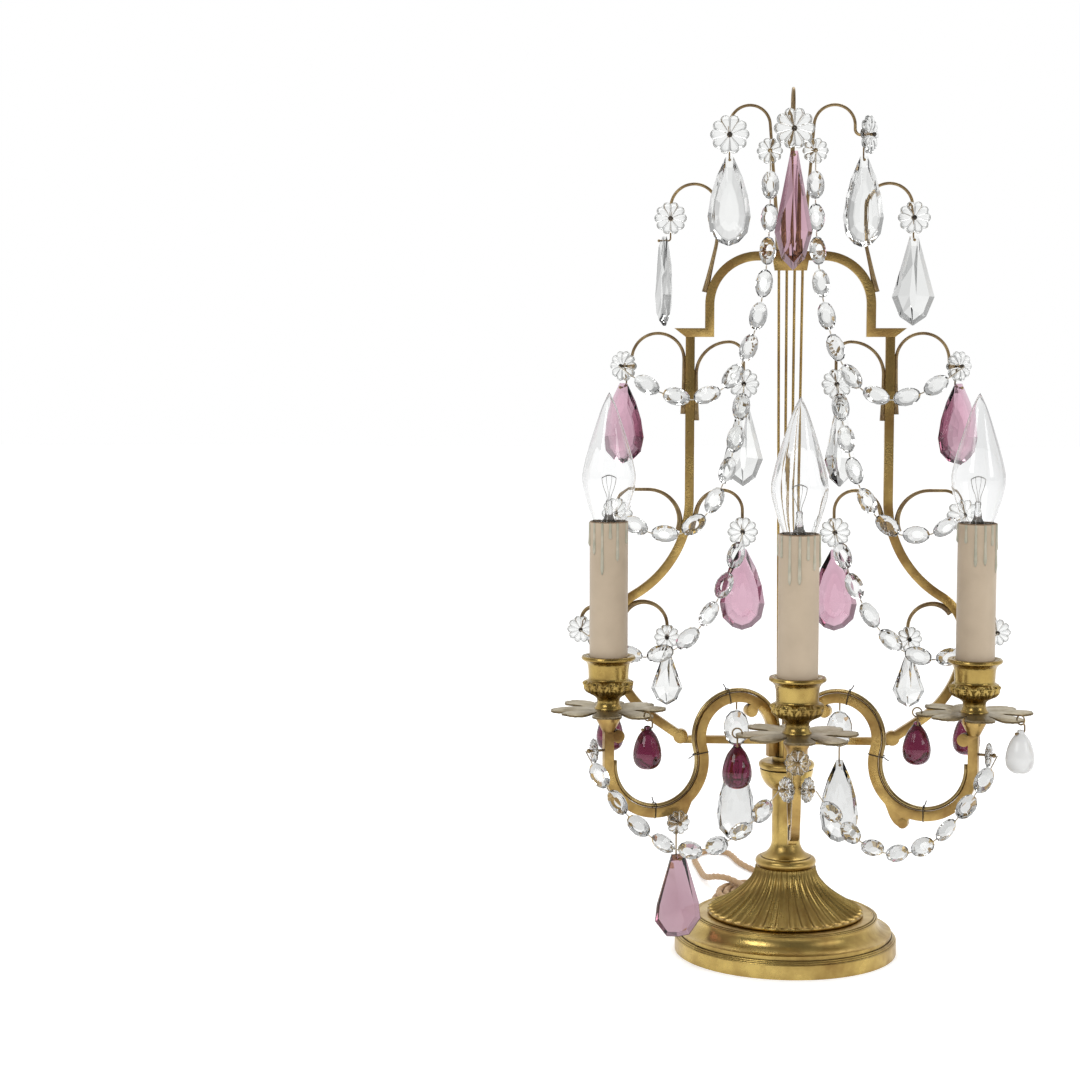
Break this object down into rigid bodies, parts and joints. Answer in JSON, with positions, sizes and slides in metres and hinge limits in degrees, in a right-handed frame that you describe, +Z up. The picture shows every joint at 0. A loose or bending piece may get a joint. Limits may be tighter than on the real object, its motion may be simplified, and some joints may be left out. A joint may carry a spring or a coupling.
{
  "type": "girandole candle holder",
  "caption": "Gilt lyre-shaped girandole with scrolled candle arms, faceted clear and violet crystal drops, bead garlands, candle bulbs and a cord.",
  "frame": {"origin": "centre of the round foot's underside", "axes": "+Z up; -Y to the front, where the middle arm reaches; +X to the right seen from the front"},
  "size_m": [0.2926, 0.4116, 0.5381],
  "materials": {
    "gilt_brass": "satin",
    "dark_brass": "satin",
    "crystal": "polished",
    "amethyst": "polished",
    "deep_amethyst": "polished",
    "bulb_glass": "polished",
    "ivory": "satin",
    "cord_silk": "matte",
    "plug_brown": "satin"
  },
  "bodies": {
    "holder": {"foot": "gilt_brass", "fluted_dome": "gilt_brass", "column": "gilt_brass", "hub": "gilt_brass", "tie_rod": "dark_brass", "rod_nut": "dark_brass", "cord_bush": "dark_brass", "lyre_arch": "gilt_brass", "lyre_left_side": "gilt_brass", "lyre_right_side": "gilt_brass", "lyre_bottom_bar": "gilt_brass", "lyre_strings": "gilt_brass", "lyre_hooks": "dark_brass", "rosettes": "crystal", "drop_links": "dark_brass", "garland_left": "crystal", "garland_right": "crystal", "garland_lower": "crystal", "garland_wires": "dark_brass", "arm_left": "gilt_brass", "arm_front": "gilt_brass", "arm_right": "gilt_brass", "arm_conduits": "dark_brass", "drip_pans": "gilt_brass", "candle_cups": "gilt_brass", "candle_sleeves": "ivory", "lamp_holders": "dark_brass", "cord_lead": "cord_silk", "cord_coil": "cord_silk", "cord_tail": "cord_silk", "plug": "plug_brown", "plug_pins": "gilt_brass"},
    "drop_top_left": {"drop_top_left": "crystal"},
    "drop_top_right": {"drop_top_right": "crystal"},
    "drop_shoulder_left": {"drop_shoulder_left": "crystal"},
    "drop_shoulder_right": {"drop_shoulder_right": "crystal"},
    "drop_upper_outer_left": {"drop_upper_outer_left": "amethyst"},
    "drop_upper_outer_right": {"drop_upper_outer_right": "amethyst"},
    "drop_upper_inner_left": {"drop_upper_inner_left": "crystal"},
    "drop_upper_inner_right": {"drop_upper_inner_right": "crystal"},
    "drop_lower_outer_left": {"drop_lower_outer_left": "crystal"},
    "drop_lower_outer_right": {"drop_lower_outer_right": "crystal"},
    "drop_lower_inner_left": {"drop_lower_inner_left": "amethyst"},
    "drop_lower_inner_right": {"drop_lower_inner_right": "amethyst"},
    "drop_belly_left": {"drop_belly_left": "crystal"},
    "drop_belly_right": {"drop_belly_right": "crystal"},
    "drop_top_middle": {"drop_top_middle": "amethyst"},
    "pan_drop_left_front": {"pan_drop_left_front": "deep_amethyst"},
    "pan_drop_left_back": {"pan_drop_left_back": "deep_amethyst"},
    "pan_drop_front_left": {"pan_drop_front_left": "deep_amethyst"},
    "pan_drop_right_inner": {"pan_drop_right_inner": "deep_amethyst"},
    "pan_drop_right_back": {"pan_drop_right_back": "deep_amethyst"},
    "pan_drop_right_front": {"pan_drop_right_front": "crystal"},
    "arm_drop_left": {"arm_drop_left": "crystal"},
    "arm_drop_right": {"arm_drop_right": "crystal"},
    "arm_kite_left": {"arm_kite_left": "amethyst"},
    "bulb_left": {"bulb_left": "bulb_glass"},
    "bulb_front": {"bulb_front": "bulb_glass"},
    "bulb_right": {"bulb_right": "bulb_glass"}
  },
  "joints": [
    {"name": "drop_top_left_swing", "type": "hinge", "parent": "holder", "child": "drop_top_left", "pos_m": [-0.03865, 0.002, 0.49425], "axis": [0, -1, 0], "range_deg": [-15, 15]},
    {"name": "drop_top_right_swing", "type": "hinge", "parent": "holder", "child": "drop_top_right", "pos_m": [0.04376, 0.00545, 0.49425], "axis": [0, -1, 0], "range_deg": [-15, 10]},
    {"name": "drop_shoulder_left_swing", "type": "hinge", "parent": "holder", "child": "drop_shoulder_left", "pos_m": [-0.07809, 0.00467, 0.44533], "axis": [-0.9659, -0.2588, 0], "range_deg": [-15, 15]},
    {"name": "drop_shoulder_right_swing", "type": "hinge", "parent": "holder", "child": "drop_shoulder_right", "pos_m": [0.07461, 0.002, 0.44533], "axis": [0, -1, 0], "range_deg": [-15, 15]},
    {"name": "drop_upper_outer_left_swing", "type": "hinge", "parent": "holder", "child": "drop_upper_outer_left", "pos_m": [-0.1034, 0.00334, 0.3548], "axis": [-0.5, -0.866, 0], "range_deg": [-15, 15]},
    {"name": "drop_upper_outer_right_swing", "type": "hinge", "parent": "holder", "child": "drop_upper_outer_right", "pos_m": [0.1034, 0.00334, 0.3548], "axis": [0.5, -0.866, 0], "range_deg": [-15, 15]},
    {"name": "drop_upper_inner_left_swing", "type": "hinge", "parent": "holder", "child": "drop_upper_inner_left", "pos_m": [-0.0287, 0.002, 0.3438], "axis": [0, -1, 0], "range_deg": [-15, 15]},
    {"name": "drop_upper_inner_right_swing", "type": "hinge", "parent": "holder", "child": "drop_upper_inner_right", "pos_m": [0.03101, 0.00284, 0.3438], "axis": [0.6428, -0.766, 0], "range_deg": [-15, 15]},
    {"name": "drop_lower_outer_left_swing", "type": "hinge", "parent": "holder", "child": "drop_lower_outer_left", "pos_m": [-0.11058, 0.00408, 0.26229], "axis": [-0.9063, -0.4226, 0], "range_deg": [-5, 15]},
    {"name": "drop_lower_outer_right_swing", "type": "hinge", "parent": "holder", "child": "drop_lower_outer_right", "pos_m": [0.11058, 0.00408, 0.26229], "axis": [0.9063, -0.4226, 0], "range_deg": [-15, 5]},
    {"name": "drop_lower_inner_left_swing", "type": "hinge", "parent": "holder", "child": "drop_lower_inner_left", "pos_m": [-0.02864, 0.002, 0.25158], "axis": [0, -1, 0], "range_deg": [-15, 15]},
    {"name": "drop_lower_inner_right_swing", "type": "hinge", "parent": "holder", "child": "drop_lower_inner_right", "pos_m": [0.02864, 0.002, 0.25158], "axis": [0, -1, 0], "range_deg": [-15, 15]},
    {"name": "drop_belly_left_swing", "type": "hinge", "parent": "holder", "child": "drop_belly_left", "pos_m": [-0.07549, 0.002, 0.18658], "axis": [0, -1, 0], "range_deg": [-15, 15]},
    {"name": "drop_belly_right_swing", "type": "hinge", "parent": "holder", "child": "drop_belly_right", "pos_m": [0.07549, 0.002, 0.18658], "axis": [0, -1, 0], "range_deg": [-15, 15]},
    {"name": "drop_top_middle_swing", "type": "hinge", "parent": "holder", "child": "drop_top_middle", "pos_m": [0, -0.016, 0.49585], "axis": [0, -1, 0], "range_deg": [-5, 5]},
    {"name": "pan_drop_left_front_swing", "type": "hinge", "parent": "holder", "child": "pan_drop_left_front", "pos_m": [-0.08663, -0.06461, 0.1516], "axis": [0.7071, 0.7071, 0], "range_deg": [-15, 15]},
    {"name": "pan_drop_left_back_swing", "type": "hinge", "parent": "holder", "child": "pan_drop_left_back", "pos_m": [-0.11088, -0.00606, 0.1516], "axis": [-1, 0, 0], "range_deg": [-15, 15]},
    {"name": "pan_drop_front_left_swing", "type": "hinge", "parent": "holder", "child": "pan_drop_front_left", "pos_m": [-0.0343, -0.118, 0.1516], "axis": [0, -1, 0], "range_deg": [-15, 15]},
    {"name": "pan_drop_right_inner_swing", "type": "hinge", "parent": "holder", "child": "pan_drop_right_inner", "pos_m": [0.07658, -0.04036, 0.1516], "axis": [0, -1, 0], "range_deg": [-15, 15]},
    {"name": "pan_drop_right_back_swing", "type": "hinge", "parent": "holder", "child": "pan_drop_right_back", "pos_m": [0.11088, -0.00606, 0.1516], "axis": [-1, 0, 0], "range_deg": [-15, 15]},
    {"name": "pan_drop_right_front_swing", "type": "hinge", "parent": "holder", "child": "pan_drop_right_front", "pos_m": [0.13514, -0.06461, 0.1516], "axis": [0.7071, 0.7071, 0], "range_deg": [-15, 15]},
    {"name": "arm_drop_left_swing", "type": "hinge", "parent": "holder", "child": "arm_drop_left", "pos_m": [-0.03195, -0.01523, 0.122], "axis": [0, -1, 0], "range_deg": [-15, 15]},
    {"name": "arm_drop_right_swing", "type": "hinge", "parent": "holder", "child": "arm_drop_right", "pos_m": [0.03195, -0.01523, 0.122], "axis": [0, -1, 0], "range_deg": [-15, 15]},
    {"name": "arm_kite_left_swing", "type": "hinge", "parent": "holder", "child": "arm_kite_left", "pos_m": [-0.0678, -0.0334, 0.06548], "axis": [0.342, -0.9397, 0], "range_deg": [-15, 5]},
    {"name": "bulb_left_screw", "type": "hinge", "parent": "holder", "child": "bulb_left", "pos_m": [-0.11088, -0.04036, 0.24], "axis": [0, 0, 1], "range_deg": [0, 720]},
    {"name": "bulb_front_screw", "type": "hinge", "parent": "holder", "child": "bulb_front", "pos_m": [0, -0.118, 0.24], "axis": [0, 0, 1], "range_deg": [0, 720]},
    {"name": "bulb_right_screw", "type": "hinge", "parent": "holder", "child": "bulb_right", "pos_m": [0.11088, -0.04036, 0.24], "axis": [0, 0, 1], "range_deg": [0, 720]}
  ]
}
